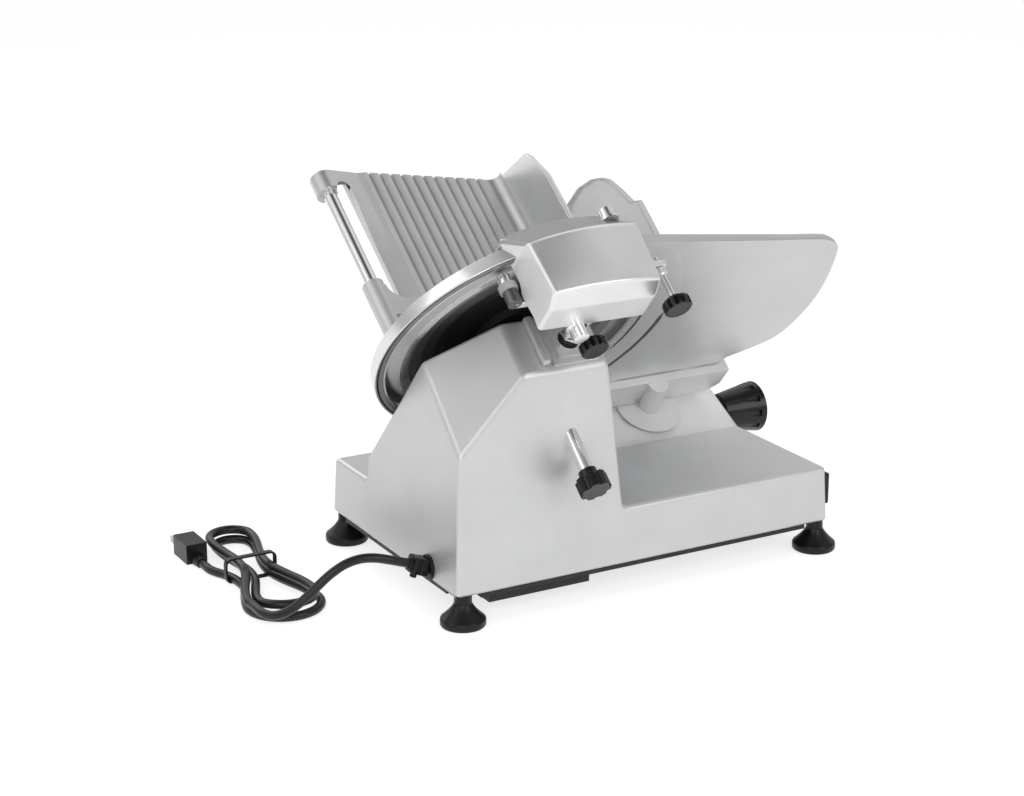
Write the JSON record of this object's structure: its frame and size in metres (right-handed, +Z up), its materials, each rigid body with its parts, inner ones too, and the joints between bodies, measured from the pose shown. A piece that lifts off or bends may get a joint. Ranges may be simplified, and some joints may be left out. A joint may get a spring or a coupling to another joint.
{
  "type": "food slicer",
  "caption": "Belt-driven gravity-feed food slicer: leaning blade in a guard ring, sliding ribbed tray with pusher, gauge plate set by an index knob, lift-off sharpener and corded base.",
  "frame": {"origin": "middle of the object's box at the surface the feet stand on, cord left out", "axes": "+Y from the operator's side with the index knob to the rear with the cord, the longest extent; +X from the slice side to the food tray; +Z up"},
  "size_m": [0.4342, 0.6406, 0.3842],
  "materials": {
    "cast_aluminium": "fine cast and anodised, satin",
    "polished_steel": "polished",
    "machined_steel": "machined",
    "ground_steel": "ground, concentric",
    "black_plastic": "fine grain",
    "rubber": "satin",
    "cord_tie": "smooth",
    "clear_guard": "clear sheet",
    "grinding_stone": "gritty bonded abrasive",
    "green_button": "smooth",
    "red_button": "smooth"
  },
  "bodies": {
    "base": {"base_housing": "cast_aluminium", "bottom_cover": "black_plastic", "foot_front_left": "rubber", "foot_front_right": "rubber", "foot_rear_left": "rubber", "foot_rear_right": "rubber", "cover_screws": "machined_steel", "switch_housing": "black_plastic", "motor_stator": "machined_steel", "motor_plate": "cast_aluminium", "capacitor": "black_plastic", "blade_axle": "machined_steel", "ring_guard": "cast_aluminium", "blade_cover": "cast_aluminium", "drive_belt": "rubber", "sharpener_bracket": "cast_aluminium", "sharpener_post": "polished_steel", "carriage_rail": "polished_steel", "guide_bar": "machined_steel", "gauge_rod": "polished_steel", "cord_gland": "rubber", "cord_lead": "rubber", "cord_hank": "rubber", "hank_tie": "cord_tie", "plug_body": "rubber", "plug_prongs": "polished_steel"},
    "blade_unit": {"blade": "ground_steel", "blade_hub": "cast_aluminium", "hub_bearings": "machined_steel", "blade_screws": "machined_steel"},
    "rotor": {"motor_rotor": "machined_steel", "motor_pulley": "cast_aluminium"},
    "tie_unit": {"tie_rod": "polished_steel", "tie_knob": "black_plastic"},
    "gauge": {"gauge_plate": "cast_aluminium", "gauge_bar": "cast_aluminium", "gauge_post": "polished_steel", "gauge_skirt": "cast_aluminium", "gauge_slide": "machined_steel"},
    "index": {"index_knob": "black_plastic", "index_shaft": "machined_steel"},
    "carriage": {"carriage_tray": "cast_aluminium", "carriage_fence": "cast_aluminium", "pusher_rod": "polished_steel", "carriage_arm": "cast_aluminium", "carriage_slide": "machined_steel", "carriage_handle": "black_plastic", "hand_guard": "clear_guard"},
    "pusher_slider": {"pusher_sleeve": "polished_steel"},
    "pusher": {"pusher_arm": "cast_aluminium", "pusher_plate": "machined_steel"},
    "sharpener": {"sharpener_housing": "cast_aluminium"},
    "clamp": {"clamp_knob": "black_plastic"},
    "stop": {"stop_knob": "black_plastic"},
    "grinder": {"grind_pin": "polished_steel"},
    "grind_wheel": {"grind_stone": "grinding_stone"},
    "honer": {"hone_pin": "polished_steel"},
    "hone_wheel": {"hone_stone": "grinding_stone"},
    "start_key": {"start_button": "green_button"},
    "stop_key": {"stop_button": "red_button"}
  },
  "joints": [
    {"name": "blade_spin", "type": "hinge", "parent": "base", "child": "blade_unit", "pos_m": [-0.03327, 0.10125, 0.25105], "axis": [0.7547, 0, 0.6561], "continuous": true},
    {"name": "rotor_spin", "type": "hinge", "parent": "base", "child": "rotor", "pos_m": [-0.0451, 0.13675, 0.11224], "axis": [0.7547, 0, 0.6561], "continuous": true},
    {"name": "tie_turn", "type": "hinge", "parent": "base", "child": "tie_unit", "pos_m": [-0.15402, 0.10125, 0.14608], "axis": [-0.7547, 0, -0.6561], "range_deg": [0, 720]},
    {"name": "gauge_travel", "type": "slide", "parent": "base", "child": "gauge", "axis": [-0.8746, 0, -0.4848], "range_m": [0, 0.012]},
    {"name": "index_turn", "type": "hinge", "parent": "base", "child": "index", "pos_m": [0.07065, -0.19825, 0.09], "axis": [0, 1, 0], "range_deg": [0, 300]},
    {"name": "carriage_travel", "type": "slide", "parent": "base", "child": "carriage", "axis": [0, 1, 0], "range_m": [-0.205, 0.055]},
    {"name": "pusher_travel", "type": "slide", "parent": "carriage", "child": "pusher_slider", "axis": [0.7986, 0, 0.6018], "range_m": [0, 0.11]},
    {"name": "pusher_swing", "type": "hinge", "parent": "pusher_slider", "child": "pusher", "pos_m": [0.07033, 0.19775, 0.25887], "axis": [-0.7986, 0, -0.6018], "range_deg": [0, 100]},
    {"name": "sharpener_lift", "type": "slide", "parent": "base", "child": "sharpener", "axis": [-0.6561, 0, 0.7547], "range_m": [0, 0.03]},
    {"name": "clamp_turn", "type": "hinge", "parent": "sharpener", "child": "clamp", "pos_m": [-0.15597, 0.09875, 0.27026], "axis": [-0.7547, 0, -0.6561], "range_deg": [0, 360]},
    {"name": "stop_turn", "type": "hinge", "parent": "sharpener", "child": "stop", "pos_m": [-0.20222, 0.03675, 0.30823], "axis": [-0.7547, 0, -0.6561], "range_deg": [0, 360]},
    {"name": "grind_press", "type": "slide", "parent": "sharpener", "child": "grinder", "axis": [0.7547, 0, 0.6561], "range_m": [0, 0.005], "stiffness_N_per_m": 400, "springref_m": -0.002},
    {"name": "grind_spin", "type": "hinge", "parent": "grinder", "child": "grind_wheel", "pos_m": [-0.12371, 0.16975, 0.32613], "axis": [0.7547, 0, 0.6561], "continuous": true},
    {"name": "hone_press", "type": "slide", "parent": "sharpener", "child": "honer", "axis": [-0.7547, 0, -0.6561], "range_m": [0, 0.002], "stiffness_N_per_m": 600, "springref_m": -0.002},
    {"name": "hone_spin", "type": "hinge", "parent": "honer", "child": "hone_wheel", "pos_m": [-0.11373, 0.05175, 0.35733], "axis": [0.7547, 0, 0.6561], "continuous": true},
    {"name": "start_press", "type": "slide", "parent": "base", "child": "start_key", "axis": [0, 1, 0], "range_m": [0, 0.002], "stiffness_N_per_m": 400, "springref_m": -0.001},
    {"name": "stop_press", "type": "slide", "parent": "base", "child": "stop_key", "axis": [0, 1, 0], "range_m": [0, 0.002], "stiffness_N_per_m": 400, "springref_m": -0.001}
  ],
  "couplings": [
    {"joint": "rotor_spin", "follows": "blade_spin", "ratio": 2.3125},
    {"joint": "index_turn", "follows": "gauge_travel", "rad_per_m": 436.33}
  ]
}
